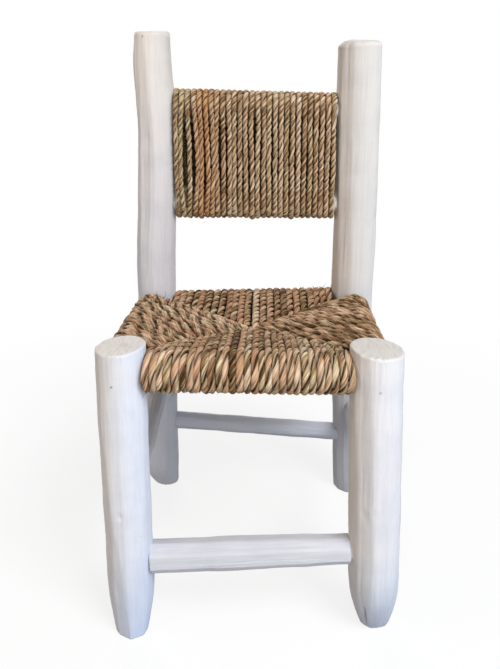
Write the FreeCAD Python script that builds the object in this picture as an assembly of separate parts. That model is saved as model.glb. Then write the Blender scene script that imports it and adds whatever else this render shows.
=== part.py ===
import FreeCAD, Part
import math
import os

# A child's chair of round poles with a wound cord seat and a wound cord back.
# Millimetres, +Z up, the sitter faces -Y, the viewer's left is -X.
# Poles are joined by whittled round ends driven into drilled holes.

V = FreeCAD.Vector

# Overall sizes
BACK_HEIGHT = 590.0
LEG_HEIGHT = 314.0
HALF_WIDTH = 125.0
HALF_DEPTH = 128.0
RECLINE = 3.0
RIGHT_POST_SHORTER = 9.0

# Heights of the pole axes where they enter the posts.
# The seat hangs on the height of the front legs and the back on the height of the rear posts.
SEAT_BELOW_LEG_TOP = 28.0
SEAT_FALL = 32.0
BACK_BELOW_POST_TOP = 86.0
BACK_RAILS_APART = 114.0
FRONT_SEAT_Z = LEG_HEIGHT - SEAT_BELOW_LEG_TOP
REAR_SEAT_Z = FRONT_SEAT_Z - SEAT_FALL
LEFT_SEAT_RISE = 1.0
UPPER_BACK_Z = BACK_HEIGHT - BACK_BELOW_POST_TOP
UPPER_BACK_TILT = 6.0
LOWER_BACK_Z = UPPER_BACK_Z - BACK_RAILS_APART
FRONT_STRETCHER_Z = 88.0
FRONT_STRETCHER_TILT = 14.0
REAR_STRETCHER_Z = 87.5
REAR_STRETCHER_TILT = -16.0
LEFT_STRETCHER_Z = 141.0
RIGHT_STRETCHER_Z = 126.0

# Pole diameters
SEAT_RAIL_DIA = 27.0
SIDE_RAIL_DIA = 22.0
BACK_RAIL_DIA = 26.0
FRONT_STRETCHER_DIA = 32.0
REAR_STRETCHER_DIA = 21.8
SIDE_STRETCHER_DIA = 24.0

# How wide a shaved pole is near its two ends, as shares of its middle
EVEN = (1.0, 1.0)
SHAVED = (0.94, 0.94)
LOPSIDED = (0.99, 0.87)

# Sections along a post, in the whittled foot and above it
FOOT_STEPS = 4
SHAFT_STEPS = 10

# How late a post narrows towards its top, and how round the whittled foot is
TOP_NARROWING = 6
FOOT_CURVE = 2

# Round tenons and their holes
SEAT_TENON_DIA = 14.0
SEAT_TENON_DEPTH = 14.5
LONG_TENON_SHARE = 0.8
LONG_TENON_DEPTH = 26.0
TENON_FIT = 0.15
HOLE_END_ROOM = 0.8
TENON_TIP = 1.5
NECK_LENGTH = 6.0
POST_GAP = 0.3

# Cords
CORD_GAP = 0.3
BACK_CORD_DIA = 6.6
BACK_TURNS = 24
TAIL_DIAS = 3
FRONT_CORD_DIA = 6.0
FRONT_STRANDS = 28
REAR_CORD_DIA = 7.4
REAR_STRANDS = 22
SIDE_CORD_DIA = 9.0
SIDE_STRANDS = 17
CROSS_CORD_DIA = 6.0
CROSS_CORDS = 4
SEAT_SAG = 16.0
UNDER_RISE = 6.0

# Posts: where the axis meets the floor and the top, the widths and the shape of the two ends.
# The foot share is the foot's width as a share of the post's, and the foot shift is how far off the
# axis the foot is whittled, in shares of the post's width. The bow bends the whole axis sideways,
# the crook only its upper half.
POSTS = {
    "front_left_leg": {
        "foot": V(-0.984 * HALF_WIDTH, -HALF_DEPTH, 0),
        "top": V(-0.976 * HALF_WIDTH, -HALF_DEPTH, LEG_HEIGHT),
        "dia": 47.0, "top_share": 1.0, "foot_share": 0.68, "foot_taper": 70.0, "foot_shift": V(0, -0.128, 0),
        "bow": -1.0, "crook": 0.0, "top_tilt": -4.5, "top_round": 1.2},
    "front_right_leg": {
        "foot": V(HALF_WIDTH, -HALF_DEPTH, 0),
        "top": V(0.92 * HALF_WIDTH, -HALF_DEPTH, LEG_HEIGHT),
        "dia": 49.5, "top_share": 1.0, "foot_share": 0.64, "foot_taper": 75.0, "foot_shift": V(0.08, 0.28, 0),
        "bow": -0.5, "crook": 0.0, "top_tilt": 5.0, "top_round": 1.2},
    "rear_left_post": {
        "foot": V(-1.024 * HALF_WIDTH, HALF_DEPTH, 0),
        "top": V(-0.968 * HALF_WIDTH, HALF_DEPTH + RECLINE, BACK_HEIGHT),
        "dia": 47.0, "top_share": 0.86, "foot_share": 0.64, "foot_taper": 42.0, "foot_shift": V(0.16, 0.128, 0),
        "bow": -0.5, "crook": 4.0, "top_tilt": 0.0, "top_round": 3.0},
    "rear_right_post": {
        "foot": V(1.04 * HALF_WIDTH, HALF_DEPTH, 0),
        "top": V(0.952 * HALF_WIDTH, HALF_DEPTH + RECLINE, BACK_HEIGHT - RIGHT_POST_SHORTER),
        "dia": 51.5, "top_share": 0.98, "foot_share": 0.90, "foot_taper": 26.0, "foot_shift": V(-0.03, 0.03, 0),
        "bow": -2.5, "crook": 0.0, "top_tilt": 1.0, "top_round": 5.0},
}


# How much of the foot's whittling there is at a height: all of it on the floor, none above the foot
def whittled(post, z):
    return max(0.0, 1 - z / post["foot_taper"]) ** FOOT_CURVE


def post_axis(name, z):
    post = POSTS[name]
    rise = z / post["top"].z
    point = post["foot"] + (post["top"] - post["foot"]) * rise
    upper = math.sin(2 * math.pi * max(0.0, rise - 0.5)) ** 2
    point.x += post["bow"] * math.sin(math.pi * rise) + post["crook"] * upper
    point += post["foot_shift"] * (post["dia"] * whittled(post, z))
    point.z = z
    return point


def post_radius(name, z):
    post = POSTS[name]
    rise = z / post["top"].z
    widest = 0.5 * post["dia"]
    radius = widest * (1 - (1 - post["top_share"]) * rise ** TOP_NARROWING)
    return radius - widest * (1 - post["foot_share"]) * whittled(post, z)


def ring(centre, radius, normal):
    return Part.Wire([Part.makeCircle(radius, centre, normal)])


def make_post(name):
    post = POSTS[name]
    height = post["top"].z
    taper = post["foot_taper"]
    rounding = post["top_round"]
    slant = math.radians(post["top_tilt"])
    top_normal = V(math.sin(slant), 0, math.cos(slant))
    top_radius = post_radius(name, height)
    brim = post_axis(name, height - top_radius * math.sin(abs(slant))) - top_normal * rounding
    levels = [taper * step / FOOT_STEPS for step in range(FOOT_STEPS + 1)]
    levels += [taper + (brim.z - taper) * step / SHAFT_STEPS for step in range(1, SHAFT_STEPS)]
    rings = [ring(post_axis(name, z), post_radius(name, z), V(0, 0, 1)) for z in levels]
    for angle in (0, 0.25 * math.pi, 0.5 * math.pi):
        inset = rounding * (1 - math.cos(angle))
        rings.append(ring(brim + top_normal * (rounding * math.sin(angle)), top_radius - inset, top_normal))
    return Part.makeLoft(rings, True, True)


# Poles between posts: the two posts, the height at each, the width and the tenons
def pole(first, second, z_first, z_second, dia, tenon_dia, tenon_depth, end_shares):
    start = post_axis(first, z_first)
    end = post_axis(second, z_second)
    along = (end - start).normalize()
    level = math.hypot(along.x, along.y)
    lift = 0.5 * tenon_dia * abs(along.z)
    radii = [(post_radius(name, z) + lift) / level for name, z in ((first, z_first), (second, z_second))]
    return {"posts": (first, second), "start": start, "end": end, "dia": dia, "end_shares": end_shares,
            "along": along, "length": (end - start).Length, "radii": radii,
            "tenon_dia": tenon_dia, "tenon_depth": tenon_depth}


def long_pole(first, second, z_mid, tilt, dia, end_shares):
    z_first = z_mid - 0.5 * tilt
    tenon_dia = LONG_TENON_SHARE * dia
    return pole(first, second, z_first, z_first + tilt, dia, tenon_dia, LONG_TENON_DEPTH, end_shares)


def seat_pole(first, second, z_first, z_second, dia):
    return pole(first, second, z_first, z_second, dia, SEAT_TENON_DIA, SEAT_TENON_DEPTH, EVEN)


FL, FR, RL, RR = POSTS
POLES = {
    "front_seat_rail": seat_pole(FL, FR, FRONT_SEAT_Z, FRONT_SEAT_Z, SEAT_RAIL_DIA),
    "rear_seat_rail": seat_pole(RL, RR, REAR_SEAT_Z, REAR_SEAT_Z, SEAT_RAIL_DIA),
    "left_seat_rail": seat_pole(FL, RL, FRONT_SEAT_Z + LEFT_SEAT_RISE, REAR_SEAT_Z + LEFT_SEAT_RISE,
                                SIDE_RAIL_DIA),
    "right_seat_rail": seat_pole(FR, RR, FRONT_SEAT_Z, REAR_SEAT_Z, SIDE_RAIL_DIA),
    "front_stretcher": long_pole(FL, FR, FRONT_STRETCHER_Z, FRONT_STRETCHER_TILT, FRONT_STRETCHER_DIA,
                                 LOPSIDED),
    "rear_stretcher": long_pole(RL, RR, REAR_STRETCHER_Z, REAR_STRETCHER_TILT, REAR_STRETCHER_DIA, EVEN),
    "left_stretcher": long_pole(FL, RL, LEFT_STRETCHER_Z, 0.0, SIDE_STRETCHER_DIA, SHAVED),
    "right_stretcher": long_pole(FR, RR, RIGHT_STRETCHER_Z, 0.0, SIDE_STRETCHER_DIA, SHAVED),
    "upper_back_rail": long_pole(RL, RR, UPPER_BACK_Z, -UPPER_BACK_TILT, BACK_RAIL_DIA, EVEN),
    "lower_back_rail": long_pole(RL, RR, LOWER_BACK_Z, 0.0, BACK_RAIL_DIA, EVEN),
}


def place(solid, start, along):
    turned = solid.copy()
    turned.Placement = FreeCAD.Placement(start, FreeCAD.Rotation(V(0, 0, 1), along))
    return turned


def make_pole(spec):
    tenon = 0.5 * spec["tenon_dia"]
    body = 0.5 * spec["dia"]
    near = spec["radii"][0]
    far = spec["length"] - spec["radii"][1]
    tip_a = near - spec["tenon_depth"]
    tip_b = far + spec["tenon_depth"]
    shoulder_a = near + POST_GAP
    shoulder_b = far - POST_GAP
    profile = [
        (tip_a, 0), (tip_a, tenon - TENON_TIP), (tip_a + TENON_TIP, tenon), (shoulder_a, tenon),
        (shoulder_a + NECK_LENGTH, body * spec["end_shares"][0]), (0.5 * (near + far), body),
        (shoulder_b - NECK_LENGTH, body * spec["end_shares"][1]), (shoulder_b, tenon),
        (tip_b - TENON_TIP, tenon), (tip_b, tenon - TENON_TIP), (tip_b, 0)]
    points = [V(r, 0, s) for s, r in profile]
    face = Part.Face(Part.makePolygon(points + [points[0]]))
    solid = face.revolve(V(0, 0, 0), V(0, 0, 1), 360)
    return place(solid, spec["start"], spec["along"])


def hole_for(spec, end):
    depth = spec["tenon_depth"] + HOLE_END_ROOM
    radius = 0.5 * spec["tenon_dia"] + TENON_FIT
    reach = depth + spec["dia"]
    ends = ((spec["start"], spec["along"]), (spec["end"], spec["along"] * -1))
    start, along = ends[end]
    return Part.makeCylinder(radius, reach, start + along * (spec["radii"][end] - depth), along)


def at_share(spec, axis, value):
    a, b = getattr(spec["start"], axis), getattr(spec["end"], axis)
    return spec["start"] + (spec["end"] - spec["start"]) * ((value - a) / (b - a))


# A tube along a path of lines and arcs
def sweep(edges, dia):
    path = Part.Wire(edges)
    tangent = edges[0].tangentAt(edges[0].FirstParameter)
    profile = ring(edges[0].valueAt(edges[0].FirstParameter), 0.5 * dia, tangent)
    return path.makePipeShell([profile], True, False)


# The back: one cord up the front, over the upper rail, down the rear and under the lower rail
def back_path():
    upper = POLES["upper_back_rail"]
    lower = POLES["lower_back_rail"]
    reach = 0.5 * BACK_RAIL_DIA + CORD_GAP + 0.5 * BACK_CORD_DIA
    side_room = POST_GAP + 0.5 * BACK_CORD_DIA
    levels = (LOWER_BACK_Z, UPPER_BACK_Z)
    left_edge = max(post_axis(RL, z).x + post_radius(RL, z) for z in levels) + side_room
    right_edge = min(post_axis(RR, z).x - post_radius(RR, z) for z in levels) - side_room
    pitch = (right_edge - left_edge) / (BACK_TURNS - 1)
    lean = (upper["start"] - lower["start"])
    lean.x = 0
    lean.normalize()
    rear = V(0, lean.z, -lean.y)
    tail = TAIL_DIAS * BACK_CORD_DIA
    edges = []
    for turn in range(BACK_TURNS):
        x = left_edge + turn * pitch
        low = at_share(lower, "x", x)
        high = at_share(upper, "x", x)
        low_rear = low + rear * reach
        low_front = low - rear * reach
        high_front = low_front + lean * (high - low).dot(lean)
        high_rear = high_front + rear * (2 * reach)
        if turn == 0:
            edges.append(Part.makeLine(low_rear + lean * tail, low_rear))
        edges.append(Part.Arc(low_rear, low - lean * reach, low_front).toShape())
        edges.append(Part.makeLine(low_front, high_front))
        edges.append(Part.Arc(high_front, high_front + rear * reach + lean * reach, high_rear).toShape())
        if turn == BACK_TURNS - 1:
            edges.append(Part.makeLine(high_rear, high_rear - lean * tail))
        else:
            next_low = at_share(lower, "x", x + pitch) + rear * reach
            edges.extend(side_step(high_rear, next_low, lean * -1))
    return edges


# Two arcs that carry a straight run sideways and leave it parallel to where it began
def side_step(start, end, heading):
    middle = (start + end) * 0.5
    first = Part.Arc(start, arc_middle(start, middle, heading), middle)
    second = Part.Arc(middle, arc_middle(end, middle, heading * -1), end)
    return [first.toShape(), second.toShape()]


def arc_middle(start, end, heading):
    chord = end - start
    run = chord.dot(heading)
    across = chord - heading * run
    side = across.Length
    radius = (run * run + side * side) / (2 * side)
    half = 0.5 * math.asin(run / radius)
    return start + heading * (radius * math.sin(half)) + across * (radius * (1 - math.cos(half)) / side)


def least_self_gap(edges, dia):
    samples = []
    travelled = 0.0
    for edge in edges:
        count = max(2, int(edge.Length / (0.5 * dia)))
        for point in edge.discretize(count + 1)[:-1]:
            samples.append((travelled, point))
            travelled += edge.Length / count
    apart = 4 * dia
    nearest = math.inf
    for index, (from_start, point) in enumerate(samples):
        later = [other for travel, other in samples[index + 1:] if travel - from_start > apart]
        nearest = min([nearest] + [(point - other).Length for other in later])
    return nearest - dia


# The seat: each strand goes over its rail and back under it, inside its own triangle
def strand(rail_point, inward, reach, top_end, under_end, dia):
    up = V(0, 0, 1)
    flat = inward.normalize()

    def tangent(end, side):
        offset = end - rail_point
        run = offset.dot(flat)
        rise = offset.z
        turn = math.atan2(rise, run) + side * math.acos(reach / math.hypot(run, rise))
        return rail_point + flat * (reach * math.cos(turn)) + up * (reach * math.sin(turn))

    over = tangent(top_end, 1)
    under = tangent(under_end, -1)
    edges = [Part.makeLine(top_end, over),
             Part.Arc(over, rail_point - flat * reach, under).toShape(),
             Part.makeLine(under, under_end)]
    return sweep(edges, dia)


def panel(rail_name, axis, count, dia, corners, centre_top, centre_under):
    spec = POLES[rail_name]
    reach = 0.5 * spec["dia"] + CORD_GAP + 0.5 * dia
    low, high = [getattr(corner, axis) for corner in corners]
    pitch = (high - low - dia) / (count - 1)
    other = "y" if axis == "x" else "x"
    middle_z = at_share(spec, axis, 0).z
    strands = []
    for index in range(count):
        value = low + 0.5 * dia + index * pitch
        rail_point = at_share(spec, axis, value)
        corner = corners[0] if value < 0 else corners[1]
        share = (abs(value) + 0.5 * dia + CORD_GAP) / abs(getattr(corner, axis))
        stop = V(rail_point)
        setattr(stop, other, getattr(corner, other) * share)
        inward = stop - rail_point
        inward.z = 0
        span_share = inward.Length / abs(getattr(rail_point, other))
        top = V(stop.x, stop.y, rail_point.z + reach + (centre_top - middle_z - reach) * span_share)
        under = V(stop.x, stop.y, rail_point.z - reach + (centre_under - middle_z + reach) * span_share)
        strands.append(strand(rail_point, inward, reach, top, under, dia))
    return Part.makeCompound(strands)


def seat_layout():
    inner = {}
    reach = 0.5 * SEAT_RAIL_DIA
    for name in POSTS:
        z = FRONT_SEAT_Z if name in (FL, FR) else REAR_SEAT_Z
        heights = (z - reach - SIDE_CORD_DIA, z, z + reach + SIDE_CORD_DIA)
        room = post_radius(name, z) + POST_GAP
        axis = min((post_axis(name, height) for height in heights), key=lambda point: abs(point.x))
        inner[name] = V(axis.x - math.copysign(room, axis.x), axis.y - math.copysign(room, axis.y), 0)
    middle = 0.5 * (FRONT_SEAT_Z + REAR_SEAT_Z)
    cord = reach + 0.5 * SIDE_CORD_DIA
    return inner, middle + cord - SEAT_SAG, middle - cord + UNDER_RISE


def seat_panels():
    inner, centre_top, centre_under = seat_layout()
    sides = (("front", "x", FL, FR, FRONT_STRANDS, FRONT_CORD_DIA),
             ("rear", "x", RL, RR, REAR_STRANDS, REAR_CORD_DIA),
             ("left", "y", FL, RL, SIDE_STRANDS, SIDE_CORD_DIA),
             ("right", "y", FR, RR, SIDE_STRANDS, SIDE_CORD_DIA))
    panels = {}
    for side, axis, first, second, count, dia in sides:
        corners = (inner[first], inner[second])
        panels["seat_" + side + "_cords"] = panel(
            side + "_seat_rail", axis, count, dia, corners, centre_top, centre_under)
    return panels


# Lengths inside the seat that lie on the lower strands, side by side with each rail
def cross_cords():
    inner, _, centre_under = seat_layout()
    sides = (("front_seat_rail", "x", FL, FR, FRONT_CORD_DIA), ("rear_seat_rail", "x", RL, RR, REAR_CORD_DIA),
             ("left_seat_rail", "y", FL, RL, SIDE_CORD_DIA), ("right_seat_rail", "y", FR, RR, SIDE_CORD_DIA))
    trim = CROSS_CORD_DIA
    cords = []
    for rail_name, axis, first, second, dia in sides:
        spec = POLES[rail_name]
        other = "y" if axis == "x" else "x"
        middle = at_share(spec, axis, 0)
        reach = 0.5 * spec["dia"] + CORD_GAP + 0.5 * dia
        seated = 0.5 * (dia + CROSS_CORD_DIA) + 2 * CORD_GAP
        slope = (centre_under - middle.z + reach) / abs(getattr(middle, other))
        for index in range(CROSS_CORDS):
            inset = 0.5 * (spec["dia"] + CROSS_CORD_DIA) + CORD_GAP + index * (CROSS_CORD_DIA + CORD_GAP)
            ends = []
            for corner in (inner[first], inner[second]):
                share = min(1.0, (abs(getattr(middle, other)) - inset) / abs(getattr(corner, other)))
                stop = getattr(corner, axis)
                point = at_share(spec, axis, math.copysign(abs(stop) * share - trim, stop))
                side = getattr(point, other)
                setattr(point, other, side - math.copysign(inset, side))
                point.z += seated - reach + slope * inset
                ends.append(point)
            run = ends[1] - ends[0]
            cords.append(Part.makeCylinder(0.5 * CROSS_CORD_DIA, run.Length, ends[0], run))
    return Part.makeCompound(cords)


shapes = {name: make_post(name) for name in POSTS}
for pole_name, pole_spec in POLES.items():
    shapes[pole_name] = make_pole(pole_spec)
    for end_index, post_name in enumerate(pole_spec["posts"]):
        shapes[post_name] = shapes[post_name].cut(hole_for(pole_spec, end_index))
winding = back_path()
shapes["back_cord"] = sweep(winding, BACK_CORD_DIA)
shapes.update(seat_panels())
shapes["seat_cross_cords"] = cross_cords()

# The origin is on the floor under the middle of the whole chair
box = Part.makeCompound(list(shapes.values())).optimalBoundingBox(False, False)
shift = V(-0.5 * (box.XMin + box.XMax), -0.5 * (box.YMin + box.YMax), -box.ZMin)
os.makedirs("parts", exist_ok=True)
for name, shape in shapes.items():
    shape.translate(shift)
    shape.exportStep("parts/" + name + ".step")
print("least gap of the back cord to itself", round(least_self_gap(winding, BACK_CORD_DIA), 2))
print("overall", round(box.XLength, 1), round(box.YLength, 1), round(box.ZLength, 1))
print("moved by", [round(v, 2) for v in shift])
for name in POSTS:
    print(name, "foot", [round(v, 2) for v in post_axis(name, 0) + shift])
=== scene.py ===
import math

import bpy
import numpy as np
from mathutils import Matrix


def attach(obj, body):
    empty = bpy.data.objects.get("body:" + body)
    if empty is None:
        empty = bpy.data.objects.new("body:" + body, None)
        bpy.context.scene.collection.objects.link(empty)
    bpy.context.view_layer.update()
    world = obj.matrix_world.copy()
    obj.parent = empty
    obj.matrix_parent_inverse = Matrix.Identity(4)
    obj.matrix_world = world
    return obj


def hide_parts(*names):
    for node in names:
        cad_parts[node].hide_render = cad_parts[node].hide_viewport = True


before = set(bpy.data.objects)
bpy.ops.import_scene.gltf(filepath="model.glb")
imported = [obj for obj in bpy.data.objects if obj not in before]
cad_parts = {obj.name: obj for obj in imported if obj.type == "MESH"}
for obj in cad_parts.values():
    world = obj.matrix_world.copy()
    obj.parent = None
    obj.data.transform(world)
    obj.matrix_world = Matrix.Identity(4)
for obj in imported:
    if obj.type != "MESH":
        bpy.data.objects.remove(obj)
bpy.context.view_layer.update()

# Sizes are in millimetres, in the frame of the solids before it was centred under the chair.
MM = 0.001
CENTRING = np.array((-1.9, -1.74, 0.0))
UP = np.array((0.0, 0.0, 1.0))
TURN = 2 * math.pi

# The photograph's frame and the camera that took it
PHOTO_HEIGHT = 669
FOCAL_PIXELS = 760
AXIS_ROW = 244
CAMERA_PLACE = (11.47, -776.9, 596.0)
CAMERA_PITCH = 16.0
CAMERA_TURN = 1.34
SENSOR = 36.0

# Posts, nearly as the solids have them, and how many flats the knife left on the pole and on the foot
POSTS = {
    "front_left_leg": dict(
        foot=(-123.0, -128.0), top=(-122.0, -128.0, 314.0), dia=47.0, top_share=1.0, foot_share=0.68,
        taper=70.0, foot_shift=(0.0, -6.0), bow=-1.0, crook=0.0, kink=0.0, tilt=-4.5,
        rounding=1.2, flats=46, foot_flats=7),
    "front_right_leg": dict(
        foot=(125.0, -128.0), top=(115.0, -128.0, 314.0), dia=49.5, top_share=1.0, foot_share=0.64,
        taper=75.0, foot_shift=(2.5, 13.9), bow=-0.5, crook=0.0, kink=0.0, tilt=5.0,
        rounding=1.2, flats=52, foot_flats=8),
    "rear_left_post": dict(
        foot=(-128.0, 128.0), top=(-121.0, 131.0, 590.0), dia=47.0, top_share=0.86, foot_share=0.64,
        taper=42.0, foot_shift=(7.5, 6.0), bow=-0.5, crook=4.0, kink=0.0, tilt=0.0,
        rounding=3.0, flats=80, foot_flats=6),
    "rear_right_post": dict(
        foot=(130.0, 128.0), top=(119.0, 131.0, 581.0), dia=51.5, top_share=0.98, foot_share=0.90,
        taper=26.0, foot_shift=(-1.5, 1.5), bow=-2.5, crook=0.0, kink=-3.0, tilt=1.0,
        rounding=5.0, flats=80, foot_flats=7),
}
TOP_NARROWING = 6
FOOT_CURVE = 2
# A kink's height, and how far up and down from there it fades
KINK_AT = 245.0
KINK_REACH = 75.0

# Cuts all over a pole: half their lengths and their depths
POST_CUTS = ((45, 150), (0.3, 1.0))
STRETCHER_CUTS = ((40, 120), (0.3, 0.9))
STRETCHER_CUT_COUNT = 26
STRETCHER_FLATS = 7
# Swells along a pole: how high and how long they are
POST_SWELLS = ((0.22, 90), (0.05, 11))
# How many points round a pole the edges between its flats are worn over
EDGE_WEAR = 2
# Ridges of grain: how many go round a pole, and how deep they are
GRAIN_RIDGES = (9, 14, 23, 31, 46)
GRAIN_DEPTH = 0.05

# Deep knife cuts: the side they face in degrees, the height of their middle, half their length, their depth
DEEP_CUTS = {
    "front_left_leg": (
        (-62, 70, 190, 1.2), (-118, 25, 100, 2.6), (-145, 90, 140, 3.0), (-20, 90, 150, 0.9),
        (95, 110, 160, 1.6), (-172, 130, 170, 2.2)),
    "front_right_leg": (
        (-125, 150, 160, 2.6), (-152, 130, 130, 2.4), (-72, 40, 90, 1.6), (-55, 130, 150, 1.0),
        (-30, 50, 90, 1.1), (60, 90, 140, 1.6), (140, 110, 170, 1.5)),
    "rear_left_post": (
        (-120, 420, 170, 1.6), (-70, 520, 110, 1.4), (-50, 330, 150, 1.3), (-100, 90, 120, 1.3),
        (60, 460, 160, 1.6), (120, 200, 190, 1.6), (-150, 250, 150, 1.3), (0, 130, 130, 0.7)),
    "rear_right_post": (
        (-125, 440, 180, 1.7), (-80, 350, 160, 1.4), (-60, 530, 90, 1.1), (-110, 80, 100, 1.3),
        (70, 430, 170, 1.6), (110, 180, 180, 1.6), (-160, 300, 170, 1.4), (20, 120, 120, 1.0)),
}

# Chips in the sawn rims: the side they face in degrees, half their width and their depth
RIM_CHIPS = {
    "front_left_leg": ((-70, 14, 0.8), (-118, 10, 0.7), (160, 12, 0.6)),
    "front_right_leg": (
        (-62, 7, 0.8), (-76, 5, 1.1), (-88, 5, 1.3), (-104, 6, 0.9), (-122, 8, 0.6), (-40, 8, 0.6)),
    "rear_left_post": ((-20, 26, 2.2), (-150, 10, 0.6)),
    "rear_right_post": ((-95, 16, 0.8), (185, 75, 3.4)),
}
RIM_ROUGHNESS = 0.15
SAW_ROUGHNESS = 0.12
# How far below the rim its chips, and the slant of the top, reach
CHIP_REACH = 6
SLANT_REACH = 60
# Rows of points across a foot, round a rim and across a sawn top, as shares of the way
SOLE_SHARES = (0.5, 0.93)
RIM_SHARES = (0.33, 0.66, 1.0)
SAWN_SHARES = (0.93, 0.8, 0.6, 0.4, 0.2, 0.06)

# Dents, and swellings with a depth below 0: the side they face in degrees, their height, radius and depth
DENTS = {
    "front_left_leg": ((-95, 144, 2.4, 1.3), (-60, 210, 5.0, 0.5), (-120, 60, 6.0, 0.7)),
    "front_right_leg": (
        (-120, 147, 4.0, 0.9), (-98, 152, 3.0, 0.7), (-80, 118, 9.0, 0.5), (-100, 90, 8.0, 0.5),
        (-70, 200, 6.0, 0.4)),
    "rear_left_post": (
        (-115, 470, 5.0, 0.6), (-70, 340, 7.0, 0.5), (100, 400, 8.0, 0.6), (-5, 512, 14.0, -2.0),
        (180, 552, 16.0, -1.5), (180, 590, 10.0, 1.0), (180, 490, 18.0, 1.4)),
    "rear_right_post": ((-100, 430, 6.0, 0.5), (-60, 350, 8.0, 0.5), (80, 300, 9.0, 0.6)),
}

# Small dark holes: the side they face in degrees, their height and radius
SPOTS = {
    "front_left_leg": ((-102, 281, 0.85),),
    "front_right_leg": ((-89, 279, 0.8), (-96, 157, 0.5)),
    "rear_left_post": ((-112, 585, 0.8),),
    "rear_right_post": (),
}

# The split in a foot: the side it faces, its lowest and highest point, its depth, and over what height it
# runs out. Its half width, and the place, half width and height of its lips, are in points round the post.
SPLIT = dict(
    post="front_right_leg", facing=-121, low=6, high=40, depth=4.0, fade=8,
    half=1.5, lip_at=2.6, lip_half=0.9, lip=0.5)

# Painted shade and light in the paint from foot to top: heights, and the colour at each. It is darker and
# bluer for shade at the feet, under the seat and on the stretchers, and warmer higher up.
PAINT_HEIGHTS = (0, 45, 110, 240, 330, 600)
PAINTED_SHADE_TONES = {
    "front_left_leg": (
        (0.77, 0.845, 1.0), (0.84, 0.90, 1.01), (0.98, 0.99, 1.02), (1.0, 1.005, 1.035),
        (1.0, 0.995, 1.0), (1.0, 0.99, 0.98)),
    "front_right_leg": (
        (0.62, 0.684, 0.842), (0.77, 0.836, 0.94), (0.97, 0.975, 1.0), (0.98, 0.975, 0.99),
        (1.0, 0.98, 0.97), (1.0, 0.98, 0.97)),
    "rear_left_post": (
        (0.92, 0.97, 1.12), (0.92, 0.97, 1.12), (0.92, 0.97, 1.12), (0.88, 0.92, 1.06),
        (0.90, 0.905, 1.0), (1.0, 0.955, 0.935)),
    "rear_right_post": (
        (0.70, 0.75, 0.87), (0.70, 0.75, 0.87), (0.70, 0.75, 0.87), (0.89, 0.90, 0.95),
        (0.94, 0.925, 0.925), (0.93, 0.91, 0.90)),
    "front_stretcher": ((0.83, 0.85, 0.92),) * len(PAINT_HEIGHTS),
    "rear_stretcher": ((0.72, 0.765, 0.89),) * len(PAINT_HEIGHTS),
    "left_stretcher": ((0.82, 0.85, 0.93),) * len(PAINT_HEIGHTS),
    "right_stretcher": ((0.82, 0.85, 0.93),) * len(PAINT_HEIGHTS),
}
# Painted light and shade by the way a pole faces: what the sides that face left, to the front or back, and
# right multiply it by
PAINTED_SIDE_LIGHT = {
    "front_left_leg": ((1.03, 0.94, 0.875), (1.01, 1.015, 1.085), (0.93, 0.995, 1.17)),
    "front_right_leg": ((0.917, 0.82, 0.74), (1.03, 1.02, 1.075), (1.0, 1.035, 1.14)),
    "rear_left_post": ((1.2, 1.165, 1.13), (0.99, 0.96, 0.943), (0.89, 0.885, 0.865)),
    "rear_right_post": ((1.0, 0.92, 0.85), (0.94, 0.92, 0.925), (1.04, 1.055, 1.07)),
}
PLAIN_SIDES = ((0.99, 0.985, 1.0),) * 3

# White paint and the sawn ends in three tones each, and what streaks, strokes, chips and holes turn it to
PAINT = ((0.3, (0.74, 0.735, 0.73)), (0.55, (0.80, 0.79, 0.77)), (0.75, (0.82, 0.79, 0.745)))
SAWN_END = ((0.3, (0.70, 0.63, 0.57)), (0.5, (0.78, 0.73, 0.69)), (0.7, (0.81, 0.775, 0.74)))
STREAK = (0.58, 0.53, 0.47)
STROKE = (0.62, 0.62, 0.64)
CHIP = (0.42, 0.33, 0.24)
HOLE = (0.07, 0.05, 0.035)

# The rails' wood and its patches, and the paint on the back rails' ends, with where it starts, in metres
RAIL_WOOD = ((0.3, (0.11, 0.055, 0.025)), (0.55, (0.25, 0.125, 0.055)), (0.75, (0.36, 0.21, 0.11)))
RAIL_PATCH = (0.14, 0.08, 0.045)
RAIL_PAINT = (0.76, 0.74, 0.71)
RAIL_PAINT_FROM = (0.088, 0.091)

# Palm leaf from dark to pale, what dull and warm leaves turn to, the painted shade in creases and gaps, and
# the smears of paint
TAN = (
    (0.0, (0.11, 0.052, 0.021)), (0.3, (0.37, 0.209, 0.108)), (0.6, (0.66, 0.432, 0.26)),
    (1.0, (0.90, 0.70, 0.51)))
OLIVE = (0.9, 0.985, 0.9)
SEAT_ORANGE = (0.66, 0.36, 0.21)
BACK_ORANGE = (0.62, 0.32, 0.145)
CREASE_SHADE = (0.022, 0.009, 0.0035)
SMEAR = (0.72, 0.70, 0.66)
FIBRE_SCALE = 1.6

# Stretchers: the two posts, the height at each, the width, and the width near the ends as shares of it
STRETCHERS = {
    "front_stretcher": ("front_left_leg", "front_right_leg", 81.0, 95.0, 32.0, 0.99, 0.87),
    "rear_stretcher": ("rear_left_post", "rear_right_post", 95.5, 81.5, 21.8, 1.0, 1.0),
    "left_stretcher": ("front_left_leg", "rear_left_post", 141.0, 141.0, 24.0, 0.94, 0.94),
    "right_stretcher": ("front_right_leg", "rear_right_post", 126.0, 126.0, 24.0, 0.94, 0.94),
}
# The width where a stretcher meets its posts, as shares of its middle, and how far forward its ends are set
TENON_SHARES = {
    "front_stretcher": (0.68, 0.62), "rear_stretcher": (0.86, 1.0),
    "left_stretcher": (0.8, 0.8), "right_stretcher": (0.8, 0.8)}
SET_FORWARD = {"front_stretcher": (0.0, -2.0), "rear_stretcher": (0.0, 6.0)}
TENON_INSIDE = 9.0
NECK = 1.5
SHOULDER_INSIDE = 2.0

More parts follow.
